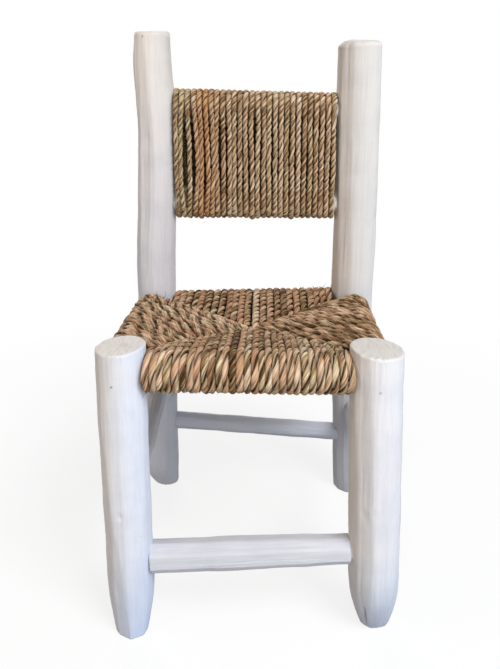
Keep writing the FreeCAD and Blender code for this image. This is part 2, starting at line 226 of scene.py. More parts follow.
# Seat rails: the two posts, the height at each and the width
RAILS = {
    "front": ("front_left_leg", "front_right_leg", 286.0, 286.0, 27.0),
    "rear": ("rear_left_post", "rear_right_post", 251.0, 258.5, 27.0),
    "left": ("front_left_leg", "rear_left_post", 287.0, 255.0, 22.0),
    "right": ("front_right_leg", "rear_right_post", 286.0, 258.0, 22.0),
}
HALF_DEPTH = 128.0
# Heights of the corners of the seat's opening, and how far the wraps reach up and down there
CORNER_HEIGHTS = {"front": 286.0, "rear": 254.0}
CORNER_REACH = 22.5

# The seat's sides. strands, width and thick: how many strands there are, and the size of one. inset: how far
# inside the posts the end ones lie, as a part of the width. tint and warmth: their usual colour. full: how
# broad a ply is across the line from one ply to the other. fuller: how much a strand swells on its rail.
# lay: the length of one turn of the plies. edge: how dark the painted shade on a strand's edges is.
# differ: how much its plies differ in colour. inner: how many lengths lie inside the seat, side by side with
# the rail.
SEAT = {
    "front": dict(
        strands=29, width=7.4, thick=8.0, inset=0.46, tint=0.53, warmth=0.36, full=1.0, fuller=0.35,
        lay=42.0, edge=0.5, differ=0.17, inner=17),
    "rear": dict(
        strands=24, width=9.5, thick=8.6, inset=0.34, tint=0.25, warmth=0.46, full=0.84, fuller=0.4,
        lay=30.0, edge=0.95, differ=0.12, inner=17),
    "left": dict(
        strands=16, width=12.6, thick=10.4, inset=0.46, tint=0.53, warmth=0.36, full=1.05, fuller=0.7,
        lay=31.0, edge=0.85, differ=0.1, inner=8),
}
SEAT["right"] = dict(SEAT["left"], tint=0.50)
SEAT_CENTRE = np.array((-6.5, 5.0, 276.0))
SEAT_CENTRE_UNDER = 258.0
CORD_GAP = 0.3
POST_GAP = 0.3
# How much darker the front strands are on the seat's top, as painted shade
FRONT_TOP_SHADE = 0.12
# The pale strand in the middle of the rear: its colour, and how far it reaches past the seam
PALE_COLOUR = (0.72, 0.3)
PALE_OVER = 7.0
# How far the front wraps move towards the leg beside them, and over what length this fades
BULGE_RIGHT = (5.5, 36.0)
BULGE_LEFT = (3.5, 30.0)

# Where the top runs end on the seams: -1 is the corner by the rail's first post, 0 the seat's centre and
# 1 the corner by the second. A strand's own share along its rail is multiplied by the second number and
# moved by the first. The third number takes the place of the second for shares below 0.
SEAM_ENDS = {
    "front": (0.0, 0.97, 0.97), "rear": (0.0, 1.0, 1.0),
    "left": (-0.36, 0.56, 0.6), "right": (0.03, 0.76, 0.98)}
# The rear left seam starts a little in front of its post
SEAM_CORNER_MOVES = {"rear_left_post": np.array((0.0, -14.0, 0.0))}
# How a run dives into its seam: how far before and beyond the seam, and how deep
DIVE = (2.5, 2.0, 5.5)
SIDE_DIVE = (9.0, 5.0, 7.0)

# The corners of the eight-sided outline round a rail, in degrees
WRAP_ANGLES = (112.5, 67.5, 22.5, -22.5, -67.5, -112.5)
# Where a wrap lies closer to its rail, or further off below 0: by how much, and the way it faces in degrees,
# from 0 for outward to -90 for down
WRAP_TIGHTER = {"front": 2.2, "rear": 0.0, "left": -2.2, "right": 3.0}
WRAP_FACING = {"front": -90, "rear": 0, "left": 0, "right": 0}

# Lengths inside the seat: their size, pitch and colour
INNER_WIDTH = 6.0
INNER_THICK = 8.2
INNER_PITCH = 7.0
INNER_COLOUR = (0.3, 0.3)

# The back's rails and its cord
BACK_RAIL_DIA = 26.0
UPPER_BACK_Z = (507.0, 501.0)
LOWER_BACK_Z = (390.0, 390.0)
BACK_LEVELS = (390.0, 504.0)
BACK_TURNS = 28
BACK_CORD_DIA = 6.5
BACK_LAY = 18.5
BACK_COLOUR = (0.70, 0.0)
BACK_LOOK = dict(full=0.86, drift=1.2, edge=0.6, crease_shade=0.6)
# How far the cord's two ends run behind the back, and how far sideways as a part of the pitch
END_RUN = 96
END_SIDEWAYS = 0.7
# How far the strands have moved sideways, counted from the left, and where: a height and half a length
LOOSE_STRANDS = (-0.8, -3.2, 1.6, 4.0, 2.0, 2.9, 2.2, -0.6, 0.7, 0.6)
LOOSE_AT = (436.0, 68.0)
PARTED_STRANDS = {12: -0.7, 13: -1.3, 14: 1.3, 15: 0.7}
PARTED_AT = (482.0, 36.0)
# How far some strands hang below the lower rail
LOWER_SAGS = {2: 0.9, 4: 0.7, 13: 2.2, 14: 0.9, 20: 1.3}
# The orange strands: how orange, round which strand and how many to each side
ORANGE_STRANDS = (0.55, 5.2, 2.2)
# White paint brushed onto the end strands: heights, and how far each smear runs
LEFT_SMEAR = (396, 7)
RIGHT_SMEARS = ((388.0, 3.5), (482.0, 3.0), (513.0, 3.5))

# How finely meshes are divided
CORD_STEP = 1.8
PLY_SIDES = 18
POST_STEP = 2.0
POST_SIDES = 144
FRAY_SIDES = 4

# A ply in the cord's cross-section, as parts of its size: how far out its middle is, and half its size
# outward and sideways
PLY_OUT = 0.235
PLY_HALF_OUT = 0.25
PLY_HALF_SIDEWAYS = 0.335
# How dark the painted shade in creases and gaps is at most
DARKEST_SHADE = 0.93

# Loose ends of leaf on each side of the seat and on the back: how many, and how long they are
SEAT_FRAY = (26, (3.0, 8.0))
BACK_FRAY = (30, (2.5, 6.0))
# Where more of them stand together: how many, how long, round which place and how far from it, how much
# they point up, and how stout they are
CORNER_FRAYS = {
    "front": (12, (6.0, 12.0), (-88, -134, 269), 16, -0.6),
    "rear": (16, (5.0, 11.0), (84, 130, 280), 18, 2.2, 2.6),
    "left": (14, (7.0, 13.0), (-112, 96, 276), 20, 1.0),
}

# What meshes carry for their materials
ATTRIBUTES = {
    "grain": ("FLOAT_VECTOR", "vector"), "fibre": ("FLOAT_VECTOR", "vector"),
    "sawn": ("FLOAT", "value"), "spot": ("FLOAT", "value"),
    "tone": ("FLOAT_COLOR", "color"), "strand": ("FLOAT_COLOR", "color")}

# Lamps: place, size, power and colour. Places and sizes of lamps and floor are in metres.
LAMPS = {
    "key": ((1.2, -1.6, 2.3), 1.2, 60.0, (0.96, 0.985, 1.0)),
    "front": ((0.3, -2.2, 1.1), 1.6, 14.0, (1.0, 0.93, 0.83)),
    "low": ((0.5, -1.7, 0.35), 1.3, 6.5, (0.66, 0.84, 1.0)),
    "left": ((-1.7, -0.9, 1.0), 1.3, 8.0, (1.0, 0.89, 0.77)),
    "right": ((1.9, -0.5, 1.0), 1.3, 4.5, (1.0, 1.0, 1.0)),
    "back": ((-0.4, 2.1, 0.9), 1.6, 25.0, (1.0, 0.98, 0.96)),
}
LAMPS_AIM = (0.0, 0.0, 0.28)
AMBIENT = {"Color": (0.95, 0.97, 1.0, 1.0), "Strength": 0.08}
WHITE = {"Color": (1.0, 1.0, 1.0, 1.0), "Strength": 1.0}
FLOOR_HALF = 40.0
# The distances over which the floor's shadow fades, and the floor's own glow at them
SHADOW_FADE = (0.25, 0.8)
FLOOR_GLOW = (0.8, 1.0)

POST_SEED = 101
STRETCHER_SEED = 201
SEAT_SEED = 31
INNER_SEED = 41
BACK_SEED = 51


# Node trees


def add_node(tree, kind, inputs=(), **settings):
    made = tree.nodes.new(kind)
    for key, value in settings.items():
        setattr(made, key, value)
    for key, value in dict(inputs).items():
        if isinstance(value, bpy.types.NodeSocket):
            tree.links.new(value, made.inputs[key])
        else:
            made.inputs[key].default_value = value
    return made


def new_material(name):
    material = bpy.data.materials.new(name)
    material.use_nodes = True
    tree = material.node_tree
    tree.nodes.clear()
    shader = add_node(tree, "ShaderNodeBsdfPrincipled")
    output = add_node(tree, "ShaderNodeOutputMaterial")
    tree.links.new(shader.outputs[0], output.inputs["Surface"])
    return material, tree, shader


def connect(tree, shader, colour, rough, normal):
    tree.links.new(colour, shader.inputs["Base Color"])
    tree.links.new(rough, shader.inputs["Roughness"])
    tree.links.new(normal, shader.inputs["Normal"])


def attribute(tree, name, output):
    return add_node(tree, "ShaderNodeAttribute", attribute_name=name).outputs[output]


def stretched(tree, vector, scale):
    return add_node(tree, "ShaderNodeMapping", {"Vector": vector, "Scale": scale}).outputs[0]


def noise(tree, vector, scale, detail=3.0, roughness=0.55):
    inputs = {"Vector": vector, "Scale": scale, "Detail": detail, "Roughness": roughness}
    return add_node(tree, "ShaderNodeTexNoise", inputs).outputs["Fac"]


def ramp(tree, factor, stops):
    made = add_node(tree, "ShaderNodeValToRGB", {"Fac": factor})
    elements = made.color_ramp.elements
    while len(elements) < len(stops):
        elements.new(0.5)
    for element, (place, colour) in zip(elements, stops):
        element.position = place
        element.color = (*colour, 1.0)
    return made.outputs["Color"]


def blend_colour(tree, factor, first, second, mode="MIX"):
    first, second = ((*colour, 1.0) if isinstance(colour, tuple) else colour for colour in (first, second))
    inputs = {0: factor, 6: first, 7: second}
    return add_node(tree, "ShaderNodeMix", inputs, data_type="RGBA", blend_type=mode).outputs[2]


def maths(tree, operation, first, second=0.0):
    return add_node(tree, "ShaderNodeMath", {0: first, 1: second}, operation=operation).outputs[0]


def spread(tree, value, low, high, to_low=0.0, to_high=1.0):
    inputs = {"Value": value, "From Min": low, "From Max": high, "To Min": to_low, "To Max": to_high}
    return add_node(tree, "ShaderNodeMapRange", inputs).outputs[0]


def bump(tree, height, strength, distance, normal=None):
    inputs = {"Height": height, "Strength": strength, "Distance": distance}
    if normal is not None:
        inputs["Normal"] = normal
    return add_node(tree, "ShaderNodeBump", inputs).outputs[0]


# 1 for rays that show the background, also in gloss or through glass, and 0 for those that light the chair
def background_rays(tree):
    rays = add_node(tree, "ShaderNodeLightPath").outputs
    seen = maths(tree, "MAXIMUM", rays["Is Camera Ray"], rays["Is Glossy Ray"])
    return maths(tree, "MAXIMUM", seen, rays["Is Transmission Ray"])


# Chalky white paint over hand-shaved wood, thin on the sawn ends
def paint_material():
    material, tree, shader = new_material("chalky_white_paint")
    grain = attribute(tree, "grain", "Vector")
    streaks = noise(tree, stretched(tree, grain, (1.0, 1.0, 0.035)), 520.0, 4.0, 0.6)
    strokes = noise(tree, stretched(tree, grain, (1.0, 1.0, 0.12)), 150.0)
    patches = noise(tree, grain, 26.0)
    specks = noise(tree, grain, 430.0, 2.0)
    rings = noise(tree, stretched(tree, grain, (1.0, 0.25, 1.0)), 300.0, 4.0)
    colour = ramp(tree, patches, PAINT)
    colour = blend_colour(tree, spread(tree, streaks, 0.5, 0.76, 0.0, 0.26), colour, STREAK)
    colour = blend_colour(tree, spread(tree, strokes, 0.52, 0.76, 0.0, 0.2), colour, STROKE)
    chipped = maths(tree, "MULTIPLY", spread(tree, specks, 0.71, 0.75), spread(tree, patches, 0.52, 0.6))
    colour = blend_colour(tree, maths(tree, "MULTIPLY", chipped, 0.6), colour, CHIP)
    # Multiplies in the painted shade and light that the tone attribute carries
    colour = blend_colour(tree, 1.0, colour, attribute(tree, "tone", "Color"), "MULTIPLY")
    colour = blend_colour(tree, attribute(tree, "sawn", "Fac"), colour, ramp(tree, rings, SAWN_END))
    colour = blend_colour(tree, attribute(tree, "spot", "Fac"), colour, HOLE)
    normal = bump(tree, streaks, 0.45, 0.0005)
    normal = bump(tree, strokes, 0.3, 0.001, normal)
    connect(tree, shader, colour, spread(tree, strokes, 0.3, 0.7, 0.5, 0.68), normal)
    shader.inputs["Specular IOR Level"].default_value = 0.35
    return material


# Bare wood of the poles that the cords hide, with or without paint on the ends
def rail_material(name, painted):
    material, tree, shader = new_material(name)
    place = add_node(tree, "ShaderNodeNewGeometry").outputs["Position"]
    fibres = noise(tree, stretched(tree, place, (0.06, 0.3, 1.0)), 500.0, 4.0, 0.6)
    patches = noise(tree, place, 30.0, 2.0)
    colour = ramp(tree, fibres, RAIL_WOOD)
    colour = blend_colour(tree, spread(tree, patches, 0.45, 0.7, 0.0, 0.35), colour, RAIL_PATCH)
    if painted:
        sideways = add_node(tree, "ShaderNodeSeparateXYZ", {0: place}).outputs[0]
        ends = spread(tree, maths(tree, "ABSOLUTE", sideways), *RAIL_PAINT_FROM)
        colour = blend_colour(tree, ends, colour, RAIL_PAINT)
    rough = spread(tree, fibres, 0.3, 0.7, 0.6, 0.8)
    connect(tree, shader, colour, rough, bump(tree, fibres, 0.4, 0.0005))
    return material


# Twisted palm leaf: dull tan plies with fibres along them, some orange, some pale, a few smeared with paint
def cord_material(name, orange):
    material, tree, shader = new_material(name)
    fibre = attribute(tree, "fibre", "Vector")
    strand = add_node(tree, "ShaderNodeAttribute", attribute_name="strand")
    parts = add_node(tree, "ShaderNodeSeparateColor", {"Color": strand.outputs["Color"]}).outputs
    tint, ruddy, shade = parts[0], parts[1], parts[2]
    threads = noise(tree, stretched(tree, fibre, (0.05, 1.0, 1.0)), FIBRE_SCALE, 4.0, 0.65)
    flecks = noise(tree, stretched(tree, fibre, (0.09, 1.0, 1.0)), 0.4 * FIBRE_SCALE, 2.0)
    tone = maths(tree, "ADD", tint, spread(tree, threads, 0.28, 0.72, -0.26, 0.26))
    tone = maths(tree, "ADD", tone, spread(tree, flecks, 0.38, 0.62, -0.3, 0.3))
    colour = ramp(tree, tone, TAN)
    colour = blend_colour(tree, spread(tree, ruddy, 0.0, 0.3, 1.0, 0.0), colour, OLIVE, "MULTIPLY")
    warm = spread(tree, threads, 0.2, 0.6, 0.55, 1.0)
    warm = maths(tree, "MULTIPLY", spread(tree, ruddy, 0.3, 1.0), warm)
    colour = blend_colour(tree, warm, colour, orange)
    # Painted shade in the creases and gaps, as dark as the strand attribute's third channel says
    colour = blend_colour(tree, shade, colour, CREASE_SHADE)
    smear = maths(tree, "MULTIPLY", strand.outputs["Alpha"], spread(tree, flecks, 0.38, 0.52))
    colour = blend_colour(tree, smear, colour, SMEAR)
    normal = bump(tree, threads, 0.8, 0.0007)
    normal = bump(tree, flecks, 0.45, 0.0008, normal)
    connect(tree, shader, colour, spread(tree, threads, 0.3, 0.7, 0.55, 0.8), normal)
    shader.inputs["Specular IOR Level"].default_value = 0.08
    return material


# Meshes


def add_piece(name, verts, faces, material, slot, nodes, **attributes):
    mesh = bpy.data.meshes.new(name)
    mesh.from_pydata((np.asarray(verts) * MM).tolist(), [], faces)
    for key, values in attributes.items():
        kind, field = ATTRIBUTES[key]
        made = mesh.attributes.new(key, kind, "POINT")
        made.data.foreach_set(field, np.ascontiguousarray(values, dtype=np.float32).ravel())
    mesh.materials.append(material)
    mesh.polygons.foreach_set("use_smooth", [True] * len(mesh.polygons))
    mesh.update()
    piece = bpy.data.objects.new(name, mesh)
    bpy.context.scene.collection.objects.link(piece)
    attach(piece, "root")
    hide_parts(*nodes)


def unit(vector):
    return vector / np.linalg.norm(vector)


def round_angles(count):
    return np.linspace(0, TURN, count, endpoint=False)


# 0 below 0, 1 beyond the fade's length, and a straight rise between them
def fade_in(values, fade):
    return np.clip(values / fade, 0, 1)


# The point of a straight line at which one coordinate has a given value
def point_at(start, end, axis, value):
    return start + (end - start) * (value - start[axis]) / (end - start)[axis]


# Faces of rows of points that go round a closed outline, with both ends closed
def tube_faces(rows, sides, first=0):
    index = first + np.arange(rows * sides).reshape(rows, sides)
    after = np.roll(index, -1, axis=1)
    quads = np.stack((index[:-1], after[:-1], after[1:], index[1:]), axis=-1).reshape(-1, 4)
    return quads.tolist() + [index[0][::-1].tolist(), index[-1].tolist()]


# A smooth curve that runs near its control points and through the two end ones, in even steps
def smooth_line(points, step):
    points = np.asarray(points, dtype=float)
    padded = np.vstack((points[0], points, points[-1]))
    t = np.linspace(0, 1, 16, endpoint=False)[:, None]
    pieces = []
    for before, here, after in zip(padded[:-2], padded[1:-1], padded[2:]):
        pieces.append(0.5 * ((1 - t) ** 2 * before + (1 + 2 * t - 2 * t * t) * here + t * t * after))
    dense = np.vstack(pieces + [points[-1:]])
    travelled = np.concatenate(((0,), np.cumsum(np.linalg.norm(np.diff(dense, axis=0), axis=1))))
    count = max(4, int(travelled[-1] / step))
    even = np.linspace(0, travelled[-1], count + 1)
    return np.stack([np.interp(even, travelled, dense[:, axis]) for axis in range(3)], axis=1), even


# A gentle random wave along a length
def wander(rng, along, size, wavelength):
    waves = np.zeros_like(along)
    for part in (1.0, 0.57, 0.31):
        waves += part * np.sin(TURN * along / (wavelength * part) + rng.uniform(0, TURN))
    return size * waves / 1.2


# Painted poles


def whittled(post, z):
    return np.maximum(0.0, 1 - z / post["taper"]) ** FOOT_CURVE


def post_axis(post, z):
    z = np.asarray(z, dtype=float)
    rise = z / post["top"][2]
    shift = whittled(post, z)
    upper = np.sin(TURN * np.maximum(0.0, rise - 0.5)) ** 2
    x = post["foot"][0] + (post["top"][0] - post["foot"][0]) * rise
    x = x + post["bow"] * np.sin(math.pi * rise) + post["crook"] * upper + post["foot_shift"][0] * shift
    x = x + post["kink"] * np.exp(-((z - KINK_AT) / KINK_REACH) ** 2)
    y = post["foot"][1] + (post["top"][1] - post["foot"][1]) * rise + post["foot_shift"][1] * shift
    return np.stack((x, y, z), axis=-1)


def post_radius(post, z):
    z = np.asarray(z, dtype=float)
    widest = 0.5 * post["dia"]
    radius = widest * (1 - (1 - post["top_share"]) * (z / post["top"][2]) ** TOP_NARROWING)
    return radius - widest * (1 - post["foot_share"]) * whittled(post, z)


# One long flat cut that is deepest in its middle and runs out at both ends
def knife_cut(surface, radius, along, angles, facing, middle, half, depth):
    flat = radius - depth * (1 - ((along - middle) / half) ** 2)
    across = np.maximum(np.cos(angles - facing), 0.5)
    return np.minimum(surface, flat[:, None] / across[None, :])


# The surface left by many cuts with a drawknife, as a radius at each place along and round a pole
def shaved(rng, radius, along, angles, count, lengths, depths):
    surface = np.repeat(radius[:, None], len(angles), axis=1)
    for _ in range(count):
        facing = rng.uniform(0, TURN)
        middle = rng.uniform(along[0], along[-1])
        half = rng.uniform(*lengths)
        surface = knife_cut(surface, radius, along, angles, facing, middle, half, rng.uniform(*depths))
    return surface


# A pole's surface with the edges between its flats worn round, and on average as thick as before it was cut
def worn(surface, radius):
    shifts = range(-EDGE_WEAR, EDGE_WEAR + 1)
    weights = 1 - np.abs(np.array(shifts)) / (EDGE_WEAR + 1)
    weights /= weights.sum()
    soft = sum(weight * np.roll(surface, shift, axis=1) for weight, shift in zip(weights, shifts))
    return soft + (radius - soft.mean(axis=1))[:, None]


# Shallow ridges of grain that run along a pole and drift round it
def grain(rng, along, angles):
    ridges = np.zeros((len(along), len(angles)))
    for count in GRAIN_RIDGES:
        drift = wander(rng, along, 0.8, 160)[:, None] + rng.uniform(0, TURN)
        ridges += np.sin(count * angles[None, :] + drift) * (1 + wander(rng, along, 0.5, 110))[:, None]
    return GRAIN_DEPTH * ridges


# Colours for places between those that have one
def colours_at(places, known, colours):
    return np.stack([np.interp(places, known, channel) for channel in zip(*colours)], axis=1)


# Painted shade and light in the paint at each point of a pole, from its height and the way its surface faces
def painted_light_tones(name, heights, facing):
    tones = colours_at(heights, PAINT_HEIGHTS, PAINTED_SHADE_TONES[name])
    tones *= colours_at(facing, (-1, 0, 1), PAINTED_SIDE_LIGHT.get(name, PLAIN_SIDES))
    return np.hstack((tones, np.ones((len(tones), 1))))


# The nearest difference between two directions, in degrees
def degrees_apart(angles, facing):
    return (np.degrees(angles) - facing + 180) % 360 - 180


# How strongly a round mark shows at each place of a post, from 1 in its middle down to 0
def mark_on(post, heights, angles, facing, z, size, stretch=1.0):
    arc = np.radians(degrees_apart(angles, facing)) * 0.5 * post["dia"]
    away = (arc[None, :] ** 2 + (heights[:, None] - z) ** 2 / stretch) / size ** 2
    return np.exp(-away)


def post_surface(rng, name, heights, angles):
    post = POSTS[name]
    radius = post_radius(post, heights)
    surface = shaved(rng, radius, heights, angles, post["flats"], *POST_CUTS)
    for facing, middle, half, depth in DEEP_CUTS[name]:
        surface = knife_cut(surface, radius, heights, angles, math.radians(facing), middle, half, depth)
    for flat in range(post["foot_flats"]):
        facing = TURN * (flat + rng.uniform(-0.2, 0.2)) / post["foot_flats"]
        reach = post["taper"] * rng.uniform(0.85, 1.2)
        fade = np.clip(1.4 * (1 - heights / reach), -1, 1)
        share = 1 - rng.uniform(0.02, 0.05) * fade
        across = np.maximum(np.cos(angles - facing), 0.6)
        surface = np.minimum(surface, (radius * share)[:, None] / across[None, :])
    surface = worn(surface, radius) + grain(rng, heights, angles)
    for facing, z, size, depth in DENTS[name]:
        surface -= depth * mark_on(post, heights, angles, facing, z, size, 2.5)
    surface += sum(wander(rng, heights, *swell) for swell in POST_SWELLS)[:, None]
    if name == SPLIT["post"]:
        inside = np.minimum(heights - SPLIT["low"], SPLIT["high"] - heights)
        open_here = fade_in(inside, SPLIT["fade"])[:, None]
        arc = np.abs(degrees_apart(angles, SPLIT["facing"])) / 360 * POST_SIDES
        lips = np.exp(-((arc - SPLIT["lip_at"]) / SPLIT["lip_half"]) ** 2)
        surface -= SPLIT["depth"] * open_here * np.clip(SPLIT["half"] - arc, 0, 1)[None, :]
        surface += SPLIT["lip"] * open_here * lips[None, :]
    return surface


def make_post(name, material, seed):
    post = POSTS[name]
    rng = np.random.default_rng(seed)
    slant = math.radians(post["tilt"])
    rounding = post["rounding"]
    top_radius = float(post_radius(post, post["top"][2]))
    brim = post["top"][2] - top_radius * math.sin(abs(slant)) - rounding * math.cos(slant)
    heights = np.linspace(0, brim, int(brim / POST_STEP) + 1)
    angles = round_angles(POST_SIDES)
    surface = post_surface(rng, name, heights, angles)
    rim_drop = np.zeros(POST_SIDES)
    for facing, half, depth in RIM_CHIPS[name]:
        rim_drop += depth * np.maximum(0, 1 - (degrees_apart(angles, facing) / half) ** 2)
    rim_drop += RIM_ROUGHNESS * np.abs(rng.standard_normal(POST_SIDES))

    ring = np.stack((np.cos(angles), np.sin(angles), np.zeros(POST_SIDES)), axis=1)
    axis = post_axis(post, heights)
    rows = [axis[0] + ring * (surface[0] * share)[:, None] for share in SOLE_SHARES]
    sawn = [0.7] * len(rows)
    slant_from = brim - SLANT_REACH
    for index, z in enumerate(heights):
        row = axis[index] + ring * surface[index][:, None]
        if index == 0:
            row[:, 2] += 0.6
        lean = max(0.0, (z - slant_from) / SLANT_REACH)
        row[:, 2] -= math.tan(slant) * lean * (row[:, 0] - axis[index][0])
        row[:, 2] -= rim_drop * max(0.0, 1 - (brim - z) / CHIP_REACH)
        rows.append(row)
        sawn.append(0.0)
    centre = post_axis(post, brim)
    for share in RIM_SHARES:
        turn = 0.5 * math.pi * share
        inset = rounding * (1 - math.cos(turn)) + 0.25 * rim_drop
        row = centre + ring * (surface[-1] - inset)[:, None]
        row[:, 2] += rounding * math.sin(turn) - rim_drop - math.tan(slant) * (row[:, 0] - centre[0])
        rows.append(row)
        sawn.append(0.5 * share)
    for share in SAWN_SHARES:
        row = centre + ring * ((surface[-1] - rounding) * share)[:, None]
        row[:, 2] += rounding - math.tan(slant) * (row[:, 0] - centre[0])
        row[:, 2] -= rim_drop * max(0.0, (share - 0.6) / 0.4) * 0.7
        row[:, 2] += SAW_ROUGHNESS * rng.standard_normal(POST_SIDES)
        rows.append(row)
        sawn.append(1.0)
    spots = np.zeros((len(rows), POST_SIDES))
    shaft = slice(len(SOLE_SHARES), len(SOLE_SHARES) + len(heights))
    for mark in SPOTS[name]:
        spots[shaft] = np.maximum(spots[shaft], mark_on(post, heights, angles, *mark))
    verts = np.vstack(rows)
    facing = np.tile(np.cos(angles), len(rows))
    # The tone attribute carries painted shade and light into the paint
    add_piece(
        "shaved_" + name, verts + CENTRING, tube_faces(len(rows), POST_SIDES), material, "painted_wood",
        (name,), grain=verts * MM + seed, sawn=np.repeat(sawn, POST_SIDES), spot=spots,
        tone=painted_light_tones(name, verts[:, 2], facing))


def make_stretcher(name, material, seed):
    first, second, z_first, z_second, dia, share_first, share_second = STRETCHERS[name]
    rng = np.random.default_rng(seed)
    forward_first, forward_second = SET_FORWARD.get(name, (0.0, 0.0))
    start = post_axis(POSTS[first], z_first) - (0, forward_first, 0)
    end = post_axis(POSTS[second], z_second) - (0, forward_second, 0)
    length = np.linalg.norm(end - start)
    along = (end - start) / length
    level = unit(np.cross(along, UP))
    upward = np.cross(level, along)
    near = float(post_radius(POSTS[first], z_first))
    far = length - float(post_radius(POSTS[second], z_second))
    tenon_first, tenon_second = TENON_SHARES[name]
    places = np.linspace(near - TENON_INSIDE, far + TENON_INSIDE, int((far - near) / POST_STEP))
    neck_first = near - SHOULDER_INSIDE
    neck_second = far + SHOULDER_INSIDE
    necks = (neck_first, neck_first + NECK, neck_second - NECK, neck_second)
    places = np.sort(np.concatenate((places, necks)))
    angles = round_angles(POST_SIDES)
    shares = np.interp(
        places, (*necks[:2], 0.5 * (near + far), *necks[2:]),
        (tenon_first, share_first, 1.0, share_second, tenon_second))
    radius = 0.5 * dia * shares
    surface = shaved(rng, radius, places, angles, STRETCHER_CUT_COUNT, *STRETCHER_CUTS)
    for flat in range(STRETCHER_FLATS):
        shift = rng.uniform(-0.15, 0.15)
        facing = TURN * (flat + shift) / STRETCHER_FLATS + 0.15
        middle = rng.uniform(near, far)
        depth = rng.uniform(0.03, 0.05) * dia
        half = rng.uniform(0.9, 1.5) * (far - near)
        surface = knife_cut(surface, radius, places, angles, facing, middle, half, depth)
    surface = worn(surface, radius) + grain(rng, places, angles)
    surface = surface + wander(rng, places, 0.25, 70)[:, None]
    centres = start + along * places[:, None]
    ring = np.cos(angles)[:, None] * level + np.sin(angles)[:, None] * upward
    verts = (centres[:, None, :] + surface[:, :, None] * ring[None, :, :]).reshape(-1, 3)
    local = np.stack((
        (surface * np.cos(angles)).ravel(), (surface * np.sin(angles)).ravel(),
        np.repeat(places, POST_SIDES)), axis=1)
    plain = np.zeros(len(verts))
    # The tone attribute carries painted shade and light into the paint
    add_piece(
        "shaved_" + name, verts + CENTRING, tube_faces(len(places), POST_SIDES), material, "painted_wood",
        (name,), grain=local * MM + seed, sawn=plain, tone=painted_light_tones(name, verts[:, 2], plain))


